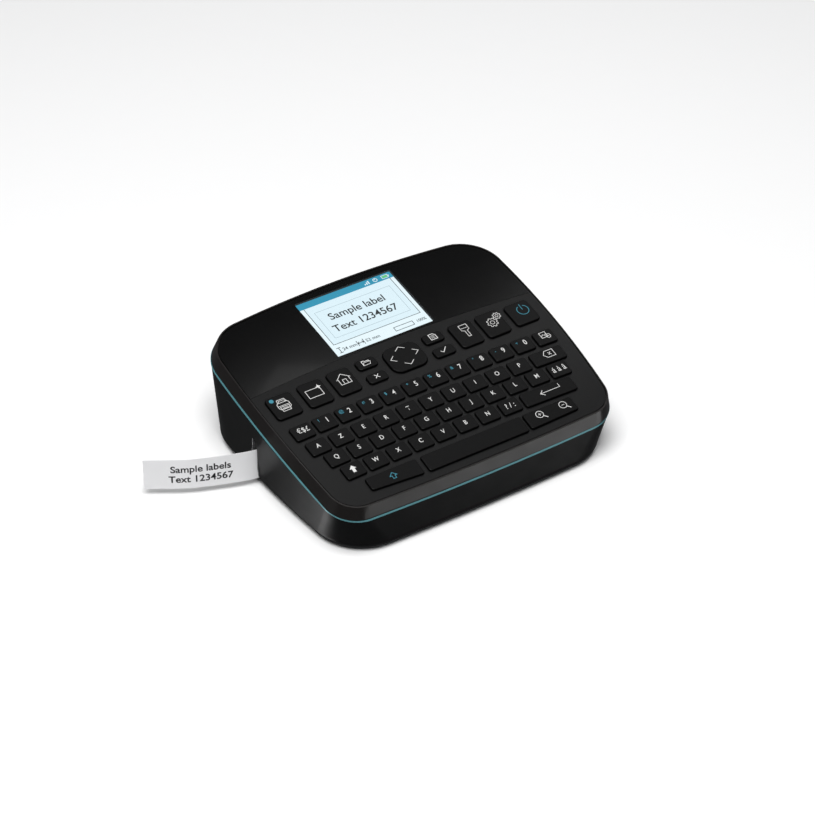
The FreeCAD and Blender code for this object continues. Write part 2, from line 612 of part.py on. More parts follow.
def label_edge(offset):
    """One long edge of the label seen from above: straight in the slot, then a gentle curl."""
    start = Vector(LABEL_START, TAPE_Y + offset, TAPE_BOTTOM)
    points = [Vector(x, y, TAPE_BOTTOM) for x, y in LABEL_PATH]
    shifted = []
    for number, point in enumerate(points):
        ahead = points[min(number + 1, len(points) - 1)] - points[max(number - 1, 0)]
        ahead.normalize()
        shifted.append(point + Vector(ahead.y, -ahead.x, 0) * offset)
    shifted[0] = Vector(points[0].x, TAPE_Y + offset, TAPE_BOTTOM)
    curl = Part.BSplineCurve()
    curl.interpolate(shifted, InitialTangent=Vector(-1, 0, 0),
                     FinalTangent=(points[-1] - points[-2]).normalize())
    return start, shifted[-1], Part.LineSegment(start, shifted[0]).toShape(), curl.toShape()


near = label_edge(TAPE_THICK / 2)
far = label_edge(-TAPE_THICK / 2)
label_face = Part.Face(Part.Wire(Part.__sortEdges__([
    near[2], near[3], far[2], far[3], Part.LineSegment(near[0], far[0]).toShape(),
    Part.LineSegment(near[1], far[1]).toShape()])))
add("printed_label", label_face.extrude(Vector(0, 0, TAPE_WIDTH)))

case = CASSETTE
cassette = rounded_box(case["left"], case["right"], case["front"], case["rear"], case["low"],
                       case["high"] - COVER_THICK, CASSETTE_CORNER)
inner = rounded_box(case["left"] + CASSETTE_WALL, case["right"] - CASSETTE_WALL,
                    case["front"] + CASSETTE_WALL, case["rear"] - CASSETTE_WALL,
                    case["low"] + 1.0, case["high"], CASSETTE_CORNER - CASSETTE_WALL)
cassette = cassette.cut(inner)
cassette = cassette.cut(box(case["left"] - 1, case["left"] + CASSETTE_WALL + 1, TAPE_Y - 0.6,
                            TAPE_Y + 0.6, TAPE_BOTTOM - 0.2, case["high"]))
hub_top = TAPE_BOTTOM + 12.0
for x, y in ((TAPE_SPOOL_X, TAPE_SPOOL_Y), RIBBON_SUPPLY):
    cassette = cassette.fuse(post(x, y, case["low"] + 0.5, hub_top, POST_RADIUS - POST_FIT))

# ---------------------------------------------------------------- gears


def involute(base, radius):
    """Angle by which an involute has turned away where it reaches the radius."""
    ratio = max(radius / base, 1.0)
    roll = math.sqrt(ratio ** 2 - 1)
    return roll - math.atan(roll)


def gear(teeth, x, y, low, phase, bore):
    """Spur gear with a tooth pointing in the direction phase, in degrees."""
    pitch = GEAR_MODULE * teeth / 2
    base = pitch * math.cos(math.radians(PRESSURE_ANGLE))
    tip, root = pitch + GEAR_MODULE, pitch - 1.25 * GEAR_MODULE
    half = math.pi / (2 * teeth) - GEAR_BACKLASH / (4 * pitch)
    at_pitch = involute(base, pitch)
    start = max(base, root)
    flank = [start + (tip - start) * step / 4 for step in range(5)]
    profile = []
    for number in range(teeth):
        middle = math.radians(phase + 360.0 * number / teeth)
        widths = [half + at_pitch - involute(base, radius) for radius in flank]
        side = [(root, widths[0])] + list(zip(flank, widths))
        for radius, width in side:
            profile.append((radius, middle - width))
        for radius, width in reversed(side):
            profile.append((radius, middle + width))
    points = [Vector(x + r * math.cos(a), y + r * math.sin(a), low) for r, a in profile]
    clean = [points[0]]
    for point in points[1:]:
        if (point - clean[-1]).Length > 1e-4:
            clean.append(point)
    face = Part.Face(Part.makePolygon(clean + [clean[0]]))
    return face.extrude(Vector(0, 0, GEAR_THICK)).cut(post(x, y, low - 1, low + 10, bore))


def mesh_phase(phase_a, teeth_a, direction, teeth_b):
    """Phase of gear b so that it meshes with gear a, which lies the other way along direction."""
    return direction + 180 + 180.0 / teeth_b - (phase_a - direction) * teeth_a / teeth_b


def centre_step(origin, teeth_a, teeth_b, direction):
    reach = GEAR_MODULE * (teeth_a + teeth_b) / 2
    turn = math.radians(direction)
    return origin[0] + reach * math.cos(turn), origin[1] + reach * math.sin(turn)


PLATEN = (PLATEN_X, PLATEN_Y)
IDLER = centre_step(PLATEN, PLATEN_TEETH, IDLER_TEETH, IDLER_AT)
RIBBON = centre_step(IDLER, IDLER_TEETH, RIBBON_TEETH, RIBBON_AT)
PINION = centre_step(IDLER, IDLER_TEETH, PINION_TEETH, PINION_AT)
platen_phase = 0.0
idler_phase = mesh_phase(platen_phase, PLATEN_TEETH, IDLER_AT, IDLER_TEETH)
ribbon_phase = mesh_phase(idler_phase, IDLER_TEETH, RIBBON_AT, RIBBON_TEETH)
pinion_phase = mesh_phase(idler_phase, IDLER_TEETH, PINION_AT, PINION_TEETH)

gear_low = CHASSIS_Z + CHASSIS_THICK + GEAR_GAP
gear_high = gear_low + GEAR_THICK
chassis_top = CHASSIS_Z + CHASSIS_THICK

# Platen: a rubber roller and a brass gear on one steel shaft that turns in the floor and chassis.
roller_low, roller_high = TAPE_BOTTOM, TAPE_BOTTOM + TAPE_WIDTH
shaft_low = inside_floor - 1.4
add("platen_roller", tube(*PLATEN, roller_low, roller_high, PLATEN_RADIUS, SHAFT_RADIUS))
platen_shaft = post(*PLATEN, shaft_low, gear_high + 1.0, SHAFT_RADIUS)
add("platen_gear", gear(PLATEN_TEETH, *PLATEN, gear_low, platen_phase, 1.0).fuse(platen_shaft))
shell = shell.cut(post(*PLATEN, shaft_low - 0.3, inside_floor + 1, SHAFT_RADIUS + SHAFT_FIT))

idler_hub = tube(*IDLER, gear_high - 0.01, gear_high + 1.2, 3.0, SHAFT_RADIUS + SHAFT_FIT)
add("idler_gear", gear(IDLER_TEETH, *IDLER, gear_low, idler_phase,
                       SHAFT_RADIUS + SHAFT_FIT).fuse(idler_hub))

# Ribbon drive: a gear whose finned spindle reaches down into the take-up spool.
spindle_low = case["low"] + 4.0
spindle = post(*RIBBON, spindle_low, gear_low + 0.01, SPINDLE_RADIUS)
add("ribbon_drive_gear", gear(RIBBON_TEETH, *RIBBON, gear_low, ribbon_phase, 0.8).fuse(spindle))
spool_low, spool_high = TAPE_BOTTOM + 0.1, TAPE_BOTTOM + TAPE_WIDTH - 0.1


def spool(x, y, radius, bore):
    """Wound core with a thin flange at each end."""
    core = post(x, y, spool_low, spool_high, radius - 1.0)
    ends = post(x, y, spool_low, spool_low + 0.7, radius).fuse(
        post(x, y, spool_high - 0.7, spool_high, radius))
    return core.fuse(ends).cut(post(x, y, spool_low - 1, spool_high + 1, bore))


add("ribbon_takeup_spool", spool(*RIBBON, RIBBON_TAKEUP_RADIUS, SPINDLE_RADIUS + 0.02))
add("ribbon_supply_spool", spool(*RIBBON_SUPPLY, RIBBON_SUPPLY_RADIUS, POST_RADIUS))
add("tape_spool", tube(TAPE_SPOOL_X, TAPE_SPOOL_Y, spool_low, spool_high, TAPE_SPOOL_RADIUS,
                       POST_RADIUS))
cover_plate = rounded_box(case["left"], case["right"], case["front"], case["rear"],
                          case["high"] - COVER_THICK, case["high"], CASSETTE_CORNER)
cover_plate = cover_plate.cut(post(*RIBBON, 20, 40, SPINDLE_RADIUS + 1.2))
for x, y in ((TAPE_SPOOL_X, TAPE_SPOOL_Y), RIBBON_SUPPLY):
    cover_plate = cover_plate.fuse(post(x, y, hub_top + 2, case["high"] - 0.5,
                                        POST_RADIUS - POST_FIT))
collar = tube(*RIBBON, case["low"] + 0.5, spool_low - 0.2, 5.0, SPINDLE_RADIUS + 0.3)
add("cassette_case", cassette.fuse(collar))
add("cassette_cover", cover_plate)

add("motor_pinion", gear(PINION_TEETH, *PINION, gear_low, pinion_phase, 0.9).fuse(
    post(*PINION, CHASSIS_Z - 1.0, gear_high + 0.6, 0.95)))
feed_motor = post(*PINION, CHASSIS_Z - FEED_MOTOR_HIGH, CHASSIS_Z, FEED_MOTOR_RADIUS)
feed_motor = feed_motor.cut(post(*PINION, CHASSIS_Z - 1.3, CHASSIS_Z + 1, 0.95 + SHAFT_FIT))
add("feed_motor", feed_motor)

# ---------------------------------------------------------------- cutter

cutter_pinion_x = RACK_PITCH_X + GEAR_MODULE * PINION_TEETH / 2
CUTTER_PINION = (cutter_pinion_x, CUTTER_PINION_Y)
# A gap of the pinion faces the rack when one of the rack's teeth stands on its centre line.
cutter_phase = 180.0 + 180.0 / PINION_TEETH
rack_pitch = math.pi * GEAR_MODULE


def rack_profile(first, last):
    """Rack teeth that point to +X, one of them level with the pinion's axis."""
    half = rack_pitch / 4 - GEAR_BACKLASH / 4
    lean = math.tan(math.radians(PRESSURE_ANGLE))
    tip = RACK_PITCH_X + 0.9 * GEAR_MODULE
    root = RACK_PITCH_X - 1.25 * GEAR_MODULE
    points = []
    for number in range(first, last + 1):
        y = CUTTER_PINION_Y + number * rack_pitch
        points += [(root, y - half - (RACK_PITCH_X - root) * lean),
                   (tip, y - half + (tip - RACK_PITCH_X) * lean),
                   (tip, y + half - (tip - RACK_PITCH_X) * lean),
                   (root, y + half + (RACK_PITCH_X - root) * lean)]
    return points


ride = CARRIAGE
teeth_back = -int((CUTTER_STROKE + 3.0) / rack_pitch)
teeth = rack_profile(teeth_back, 2)
rack_outline = [(ride["left"], teeth[0][1] - 1.0), (teeth[0][0], teeth[0][1] - 1.0)] + teeth
rack_outline += [(teeth[-1][0], teeth[-1][1] + 1.0), (ride["left"], teeth[-1][1] + 1.0)]
rack_face = Part.Face(Part.makePolygon([Vector(x, y, gear_low) for x, y in
                                        rack_outline + rack_outline[:1]]))
rack = rack_face.extrude(Vector(0, 0, GEAR_THICK))
blade = box(CUT_X - BLADE_THICK / 2, CUT_X + BLADE_THICK / 2, ride["rear"] - 6.0,
            TAPE_Y - TAPE_THICK / 2 - BLADE_REST, ride["low"], TAPE_BOTTOM + TAPE_WIDTH + 1.0)
carriage = box(ride["left"], ride["right"], -12.0, ride["rear"], ride["low"], gear_high)
carriage = carriage.fuse(box(ride["left"], ride["right"], teeth[0][1] - 1.0, -11.0,
                             CHASSIS_Z - 4, gear_high)).fuse(rack)
add("cutter_blade", blade)
add("cutter_carriage", one_piece(carriage.cut(blade)))
add("cutter_pinion", gear(PINION_TEETH, *CUTTER_PINION, gear_low, cutter_phase, 0.9).fuse(
    post(*CUTTER_PINION, CHASSIS_Z - 1.0, gear_high + 0.6, 0.95)))
cutter_motor = post(*CUTTER_PINION, CHASSIS_Z - 20.0, CHASSIS_Z, CUTTER_MOTOR_RADIUS)
cutter_motor = cutter_motor.common(box(-95.0, -70, -40, 20, 0, 60))
cutter_motor = cutter_motor.cut(post(*CUTTER_PINION, CHASSIS_Z - 1.3, CHASSIS_Z + 1,
                                     0.95 + SHAFT_FIT))
add("cutter_motor", cutter_motor)
frame_right = ride["left"] - CARRIAGE_GAP
cutter_frame = box(frame_right - FRAME_THICK, frame_right, -28.0, 28.0, inside_floor, CHASSIS_Z)
cutter_frame = cutter_frame.cut(box(-110, -90, TAPE_Y - 0.9, TAPE_Y + 0.9, 0,
                                    TAPE_BOTTOM + TAPE_WIDTH + 1.0))
foot_plate = box(frame_right - FRAME_THICK, -91.0, -30.0, ride["front"] - 1.0, inside_floor,
                 inside_floor + FRAME_THICK)
sill = box(frame_right - FRAME_THICK, ride["right"], -24.0, ride["rear"], inside_floor,
           ride["low"] - CARRIAGE_GAP)
add("cutter_frame", cutter_frame.fuse(foot_plate).fuse(sill))

# ---------------------------------------------------------------- chassis, head, boards

chassis = box(-92.0, 24.0, -30.0, 72.0, CHASSIS_Z, chassis_top)
chassis = chassis.cut(box(-93, -85.5, 24, 73, 30, 40))
chassis = chassis.cut(post(*PLATEN, 30, 40, SHAFT_RADIUS + SHAFT_FIT))
chassis = chassis.cut(post(*RIBBON, 30, 40, SPINDLE_RADIUS + SHAFT_FIT))
for centre in (PINION, CUTTER_PINION):
    chassis = chassis.cut(post(*centre, 30, 40, 2.0))
chassis = chassis.fuse(post(*IDLER, CHASSIS_Z, gear_high + 1.6, SHAFT_RADIUS))
for x, y in CHASSIS_PLACES:
    chassis = chassis.cut(post(x, y, 30, 40, SCREW_RADIUS + 0.2))
    leg = tube(x, y, inside_floor - 0.5, CHASSIS_Z, 3.4, SCREW_RADIUS)
    shell = shell.fuse(leg)
    pan = post(x, y, chassis_top, chassis_top + 1.6, SCREW_HEAD)
    pan = pan.cut(post(x, y, chassis_top + 0.8, chassis_top + 2, 1.0))
    screws.append(pan.fuse(post(x, y, CHASSIS_Z - 6, chassis_top + 0.1,
                               SCREW_RADIUS - 0.01)))
add("mechanism_chassis", chassis)
add("screws", *screws)

head_front = TAPE_Y + TAPE_THICK / 2 + HEAD_GAP
head = box(-88.0, -80.0, head_front, head_front + 4.0, TAPE_BOTTOM, CHASSIS_Z)
for number in range(4):
    low = TAPE_BOTTOM + 3 + 6.0 * number
    head = head.cut(box(-89, -79, head_front + 2.0, head_front + 5.0, low, low + 3.0))
add("print_head", head)

board = BOARD
main_board = box(board["left"], board["right"], board["front"], board["rear"], board["z"],
                 board["z"] + BOARD_THICK)
for x, y, wide, deep, high in ((46, 52, 14, 14, 1.6), (66, 60, 10, 10, 1.4), (56, 34, 18, 8, 2.4),
                               (73, 42, 6, 12, 4.0), (40, 68, 8, 6, 2.0)):
    main_board = main_board.fuse(box(x - wide / 2, x + wide / 2, y - deep / 2, y + deep / 2,
                                     board["z"] + BOARD_THICK - 0.1,
                                     board["z"] + BOARD_THICK + high))
for x in (board["left"] + 4, board["right"] - 4):
    for y in (board["front"] + 4, board["rear"] - 4):
        low = inside_floor - 0.5
        leg = post(x, y, low, board["z"], 2.6)
        shell = shell.fuse(leg)
        shell = shell.fuse(post(x, y, board["z"] - 0.1, board["z"] + BOARD_THICK, 1.2))
        main_board = main_board.cut(post(x, y, 40, 50, 1.3))
add("main_board", main_board)

# ---------------------------------------------------------------- mat and key board

behind_keys = rear_region.copy()
behind_keys.translate(mean_place(0).Rotation.multVec(Vector(0, -KEY_BOARD_SETBACK, 0)))
mat_field = deck_prism(-KEY_BOARD_INSET).cut(behind_keys)
mat = mat_field.common(between(-MAT_TOP - MAT_THICK, -MAT_TOP))
key_board = mat_field.common(between(-BOARD_TOP - KEY_BOARD_THICK, -BOARD_TOP))

# ---------------------------------------------------------------- sockets in the rear wall

JACK_FACE = BASE_PLAN["rear"] - WALL - JACK_X ** 2 / (2 * BASE_PLAN["rear_bow"]) + SOCKET_LET_IN
JACK_Z = SOCKET_LOW + JACK_HALF + 0.5


def along_y(x, z, front, rear, radius):
    return Part.makeCylinder(radius, rear - front, Vector(x, front, z), Vector(0, 1, 0))


jack = box(JACK_X - JACK_HALF, JACK_X + JACK_HALF, JACK_FACE - JACK_DEEP, JACK_FACE, SOCKET_LOW,
           JACK_Z + JACK_HALF)
jack = jack.cut(along_y(JACK_X, JACK_Z, JACK_FACE - JACK_MOUTH, JACK_FACE + 1, JACK_BORE))
jack = jack.cut(along_y(JACK_X, JACK_Z, JACK_FACE - 9.5, JACK_FACE, JACK_BORE - 0.25))
jack = jack.fuse(along_y(JACK_X, JACK_Z, JACK_FACE - 10, JACK_FACE - JACK_MOUTH - 0.8, 1.0))
add("power_inlet", jack)
shell = shell.cut(along_y(JACK_X, JACK_Z, JACK_FACE - 0.5, 110, JACK_BORE + 1.2))
usb_mid = SOCKET_LOW + USB_HIGH / 2
usb = box(USB_X - USB_HALF, USB_X + USB_HALF, JACK_FACE - USB_DEEP, JACK_FACE, SOCKET_LOW,
          SOCKET_LOW + USB_HIGH)
usb = usb.cut(box(USB_X - USB_HALF + 0.4, USB_X + USB_HALF - 0.4, JACK_FACE - USB_DEEP + 2,
                  JACK_FACE + 1, usb_mid - 1.5, usb_mid + 1.5))
usb = usb.fuse(box(USB_X - 3.2, USB_X + 3.2, JACK_FACE - USB_DEEP + 1, JACK_FACE - 1.0,
                   usb_mid - 0.4, usb_mid + 0.4))
add("usb_socket", usb)
shell = shell.cut(box(USB_X - USB_HALF, USB_X + USB_HALF, JACK_FACE - 1, 110, usb_mid - 1.9,
                      usb_mid + 1.9))
for x, half, high, deep in ((JACK_X, JACK_HALF, JACK_Z + JACK_HALF, JACK_DEEP),
                            (USB_X, USB_HALF, SOCKET_LOW + USB_HIGH, USB_DEEP)):
    shell = shell.fuse(box(x - half, x + half, JACK_FACE - deep, JACK_FACE - deep + 3.5,
                           inside_floor - 0.5, SOCKET_LOW))
    shell = shell.cut(box(x - half - 0.2, x + half + 0.2, 70, JACK_FACE, SOCKET_LOW, high + 0.2))

# ---------------------------------------------------------------- tipping keys

for name in TIPPING_KEYS:
    under = post(0, 0, -BOARD_TOP - 1.0, -KEY_DEPTH, PIVOT_RADIUS + 0.6)
    under.Placement = caps[name][1]
    mat = mat.cut(under)
for u, v in BOARD_BOSSES:
    mat = mat.cut(deck_post(u, v, -BOARD_TOP - 1, -KEY_DEPTH, BOARD_BOSS_RADIUS + 0.3))

gimbal = post(0, 0, -BOARD_TOP + PIVOT_FOOT, -PIVOT_TOP, PIVOT_RADIUS)
gimbal.Placement = caps["navigation_pad"][1]
add("navigation_pivot", gimbal)
saddle = post(0, 0, -BOARD_TOP - 0.1, -PIVOT_TOP, PIVOT_RADIUS)
saddle.Placement = caps["zoom_key"][1]
key_board = key_board.fuse(saddle)

add("key_mat", one_piece(mat))
add("keypad_board", one_piece(key_board))
add("upper_bezel", one_piece(bezel))
add("lower_housing", one_piece(shell))

# ---------------------------------------------------------------- files

os.makedirs("parts", exist_ok=True)
for name, shape in nodes.items():
    shape.exportStep(os.path.join("parts", name + ".step"))
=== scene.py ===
import math

import bmesh
import bpy
from mathutils import Matrix, Vector


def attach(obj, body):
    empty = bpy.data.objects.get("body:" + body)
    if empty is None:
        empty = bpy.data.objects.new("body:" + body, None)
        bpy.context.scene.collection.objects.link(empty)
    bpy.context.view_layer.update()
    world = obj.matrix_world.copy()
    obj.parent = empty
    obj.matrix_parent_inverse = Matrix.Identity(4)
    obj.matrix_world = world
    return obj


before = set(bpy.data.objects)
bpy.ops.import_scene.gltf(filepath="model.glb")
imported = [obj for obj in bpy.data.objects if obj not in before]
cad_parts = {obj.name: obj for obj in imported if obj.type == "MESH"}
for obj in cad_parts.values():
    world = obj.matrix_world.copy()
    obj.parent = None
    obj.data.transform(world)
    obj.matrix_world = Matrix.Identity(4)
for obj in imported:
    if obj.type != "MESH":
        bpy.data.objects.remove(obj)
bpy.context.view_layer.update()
MM = 0.001                    # everything is placed in metres; the sizes below are millimetres

# ---------------------------------------------------------------- lower housing and its covers
# The wedge-shaped lower shell is injection moulded in black ABS with a fine spark-eroded grain.
# The battery cover slides along its underside and the cassette door swings down on a thin pin.


def moulded(name, colour, gloss, grain, relief, mottle=0.15, specular=0.5):
    """Moulded plastic: a fine grain in relief, with faint mottling of its colour and gloss.

    The grain's size and its relief are in millimetres.
    """
    patches = 18 * MM
    material = bpy.data.materials.new(name)
    material.use_nodes = True
    tree = material.node_tree
    shader = tree.nodes["Principled BSDF"]
    shader.inputs["Specular IOR Level"].default_value = specular
    place = tree.nodes.new("ShaderNodeTexCoord")
    cloud = tree.nodes.new("ShaderNodeTexNoise")
    cloud.inputs["Scale"].default_value = 1 / patches
    cloud.inputs["Detail"].default_value = 5
    tree.links.new(place.outputs["Object"], cloud.inputs["Vector"])
    tone = tree.nodes.new("ShaderNodeMix")
    tone.data_type = "RGBA"
    tone.inputs["A"].default_value = (*[c * (1 - mottle) for c in colour], 1)
    tone.inputs["B"].default_value = (*[c * (1 + mottle) for c in colour], 1)
    tree.links.new(cloud.outputs["Fac"], tone.inputs["Factor"])
    tree.links.new(tone.outputs["Result"], shader.inputs["Base Color"])
    polish = tree.nodes.new("ShaderNodeMapRange")
    polish.inputs["To Min"].default_value = gloss * (1 - mottle)
    polish.inputs["To Max"].default_value = gloss * (1 + mottle)
    tree.links.new(cloud.outputs["Fac"], polish.inputs["Value"])
    tree.links.new(polish.outputs["Result"], shader.inputs["Roughness"])
    speck = tree.nodes.new("ShaderNodeTexNoise")
    speck.inputs["Scale"].default_value = 1 / (grain * MM)
    speck.inputs["Detail"].default_value = 2
    tree.links.new(place.outputs["Object"], speck.inputs["Vector"])
    bump = tree.nodes.new("ShaderNodeBump")
    bump.inputs["Strength"].default_value = 0.6
    bump.inputs["Distance"].default_value = relief * MM
    tree.links.new(speck.outputs["Fac"], bump.inputs["Height"])
    tree.links.new(bump.outputs["Normal"], shader.inputs["Normal"])
    return material


def tune(material, **values):
    """Sets single values of a finish, with _ for the blank in a value's name."""
    shader = material.node_tree.nodes["Principled BSDF"]
    for name, value in values.items():
        shader.inputs[name.replace("_", " ")].default_value = value


def finish_parts(material, slot, *names):
    """Gives these parts of the frame their finish."""
    for name in names:
        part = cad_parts[name]
        part.data.materials.clear()
        part.data.materials.append(material)


housing_black = moulded("housing_black", (0.0028, 0.0028, 0.0029), 0.4, 0.5, 0.01,
                       specular=0.25)
finish_parts(housing_black, "case_plastic", "lower_housing", "battery_cover", "cassette_door")

# ---------------------------------------------------------------- accent band
# A slim band of blue-green plastic runs all round the case between its two halves.
# It is a separate moulding that is gripped between the shell and the rim.

band_teal = moulded("band_teal", (0.075, 0.23, 0.26), 0.3, 0.8, 0.004, mottle=0.05)
finish_parts(band_teal, "accent", "accent_band")

# ---------------------------------------------------------------- rim
# The upper shell is a glossy black ring with a thin lip round the deck. It is moulded ABS and
# four screws pull it down on the lower housing.

rim_black = moulded("rim_black", (0.007, 0.0055, 0.005), 0.33, 1.2, 0.0003, specular=0.45)
tune(rim_black, Coat_Weight=0.1)
finish_parts(rim_black, "rim_plastic", "upper_bezel")

# ---------------------------------------------------------------- keyboard deck
# The arched plate round the keys is moulded in black with a fine satin texture, and each key
# shows through its own opening.

deck_black = moulded("deck_black", (0.003, 0.003, 0.0031), 0.38, 0.35, 0.008, mottle=0.08,
                     specular=0.25)
finish_parts(deck_black, "deck_plastic", "keyboard_deck")

# ---------------------------------------------------------------- display panel
# The panel behind the keyboard is polished black plastic with a clear window over the display.
# Both are flush and are glued into the rim.

panel_black = moulded("panel_black", (0.001, 0.001, 0.001), 0.22, 6.0, 0.001, mottle=0.1,
                      specular=0.2)
tune(panel_black, Coat_Weight=0.1, Coat_Roughness=0.06)
finish_parts(panel_black, "panel_gloss", "display_panel")

window = moulded("window", (0.8, 0.9, 0.93), 0.12, 8.0, 0.0005, mottle=0.05, specular=0.2)
tune(window, Alpha=0.02)
finish_parts(window, "lens", "display_lens")

# ---------------------------------------------------------------- display and its picture
# The colour display is a glass-faced module behind the window. Its picture has a status bar, a
# frame with the label that is being typed, and a line with the tape's width and length.


def top_places(name, up=Vector((0, -0.2, 0.98))):
    """A frame in the middle of the flat top of each loose piece of a part, left to right."""
    near_up, same_way, same_level = 0.94, 0.99999, 0.02 * MM
    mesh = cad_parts[name].data
    form = bmesh.new()
    form.from_mesh(mesh)
    bmesh.ops.remove_doubles(form, verts=form.verts, dist=0.001 * MM)
    places = []
    left = set(form.verts)
    while left:
        piece, edge = set(), [left.pop()]
        while edge:
            vert = edge.pop()
            piece.add(vert)
            for link in vert.link_edges:
                other = link.other_vert(vert)
                if other in left:
                    left.remove(other)
                    edge.append(other)
        faces = {face for vert in piece for face in vert.link_faces}
        facing = [face for face in faces if face.normal.dot(up) > near_up]
        normal = max(facing, key=lambda face: face.calc_area()).normal.copy()
        parallel = [face for face in facing if face.normal.dot(normal) > same_way]
        level = max(face.calc_center_median().dot(normal) for face in parallel)
        flat = {vert for face in parallel for vert in face.verts
                if abs(vert.co.dot(normal) - level) < same_level}
        across = Vector((1, 0, 0))
        along = normal.cross(across).normalized()
        xs = [vert.co.dot(across) for vert in flat]
        ys = [vert.co.dot(along) for vert in flat]
        middle = (across * (min(xs) + max(xs)) / 2 + along * (min(ys) + max(ys)) / 2
                  + normal * level)
        axes = Matrix((across, along, normal)).transposed().to_4x4()
        places.append(Matrix.Translation(middle) @ axes @ Matrix.Scale(MM, 4))
    form.free()
    return sorted(places, key=lambda place: place.translation.x)


def add_line(form, points, width, closed=False):
    """A line of even width through the points, with mitred corners."""
    points = [Vector(point) for point in points]
    count = len(points)
    pairs = []
    for number, point in enumerate(points):
        before = points[number - 1] if closed or number else None
        after = points[(number + 1) % count] if closed or number < count - 1 else None
        ways = [(b - a).normalized() for a, b in ((before, point), (point, after))
                if a is not None and b is not None]
        sides = [Vector((-way.y, way.x)) for way in ways]
        mitre = sum(sides, Vector((0, 0))).normalized()
        reach = width / 2 / max(mitre.dot(sides[0]), 0.4)
        pairs.append((form.verts.new((*(point + mitre * reach), 0)),
                      form.verts.new((*(point - mitre * reach), 0))))
    for number in range(count if closed else count - 1):
        a, b = pairs[number], pairs[(number + 1) % count]
        form.faces.new((a[0], a[1], b[1], b[0]))


def add_patch(form, points):
    """A filled patch with this outline."""
    return form.faces.new([form.verts.new((*point, 0)) for point in points])


def circle(x, y, radius, count=24, start=0.0, turn=360.0):
    """Points round a circle, or round a part of it."""
    steps = count if turn == 360.0 else count + 1
    angles = [math.radians(start + turn * step / count) for step in range(steps)]
    return [(x + radius * math.cos(angle), y + radius * math.sin(angle)) for angle in angles]


def add_letters(form, text, x, y, height, bold=0.0, width=1.0):
    """Plain lettering, its capitals this high, with its middle at (x, y)."""
    font = bpy.data.curves.new("letters", "FONT")
    font.body = text
    font.align_x = "CENTER"
    font.offset = bold
    holder = bpy.data.objects.new("letters", font)
    bpy.context.scene.collection.objects.link(holder)
    bpy.context.view_layer.update()
    flat = bpy.data.meshes.new_from_object(
        holder.evaluated_get(bpy.context.evaluated_depsgraph_get()))
    bpy.data.objects.remove(holder)
    capital = 0.729           # height of a capital over the size of the lettering
    size = height / capital
    first = len(form.verts)
    form.from_mesh(flat)
    form.verts.ensure_lookup_table()
    for vert in form.verts[first:]:
        vert.co = Vector((x + vert.co.x * size * width, y + vert.co.y * size - height / 2, 0))
    bpy.data.meshes.remove(flat)


def lay(name, form, place, material, body, thick=0.06):
    """Turns a flat drawing into a thin layer of ink on a part, and lets it ride on a body."""
    bmesh.ops.recalc_face_normals(form, faces=form.faces)
    for face in form.faces:
        if face.normal.z < 0:
            face.normal_flip()
    mesh = bpy.data.meshes.new(name)
    form.to_mesh(mesh)
    form.free()
    mesh.transform(place)
    mesh.materials.append(material)
    piece = bpy.data.objects.new(name, mesh)
    bpy.context.scene.collection.objects.link(piece)
    layer = piece.modifiers.new("thickness", "SOLIDIFY")
    layer.thickness = thick * MM
    layer.offset = 0.0
    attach(piece, body)
    return piece


def glow(name, colour, strength, gloss=0.25):
    """A colour of the lit picture, which gives off most of its own light."""
    unlit = 0.12
    dark = tuple(unlit * part for part in colour)
    material = moulded(name, dark, gloss, 0.3, 0.0005, mottle=0.02, specular=0.1)
    tune(material, Emission_Color=(*colour, 1), Emission_Strength=strength)
    return material


screen_white = glow("screen_white", (0.80, 0.93, 0.98), 0.85)
screen_blue = glow("screen_blue", (0.72, 0.88, 0.95), 0.85)
screen_teal = glow("screen_teal", (0.004, 0.25, 0.40), 0.95)
screen_green = glow("screen_green", (0.10, 0.62, 0.20), 0.75)
screen_black = glow("screen_black", (0.012, 0.014, 0.016), 0.0)
screen_grey = glow("screen_grey", (0.10, 0.13, 0.15), 0.4)
screen_pale = glow("screen_pale", (0.45, 0.58, 0.65), 0.55)
finish_parts(screen_black, "screen", "lcd_panel")
screen_place = top_places("lcd_panel")[0]
PICTURE_WIDE, PICTURE_HIGH = 37.7, 27.7       # half sizes of the picture
BAR = 5.8                                     # height of the status bar
FIELD_LEVEL, FIELD_THICK = 0.03, 0.02         # each layer: its height above the glass
BAR_LEVEL, BAR_THICK = 0.05, 0.04
INK_LEVEL, INK_THICK = 0.085, 0.02


def box(left, low, right, high):
    """The four corners of a level rectangle."""
    return [(left, low), (right, low), (right, high), (left, high)]


def raised(place, height):
    """The same place, this much higher above the surface."""
    return place @ Matrix.Translation((0, 0, height))


def on_screen(name, form, material, level=INK_LEVEL, thick=INK_THICK):
    """Lays a drawing on the display as one layer of its picture."""
    lay(name, form, raised(screen_place, level), material, "case", thick)


ground = bmesh.new()
add_patch(ground, box(-PICTURE_WIDE, -PICTURE_HIGH, PICTURE_WIDE, PICTURE_HIGH))
on_screen("picture_ground", ground, screen_white, 0.0, 0.06)
bar = bmesh.new()
add_patch(bar, box(-PICTURE_WIDE, PICTURE_HIGH - BAR, PICTURE_WIDE, PICTURE_HIGH))
on_screen("picture_status_bar", bar, screen_teal, BAR_LEVEL, BAR_THICK)

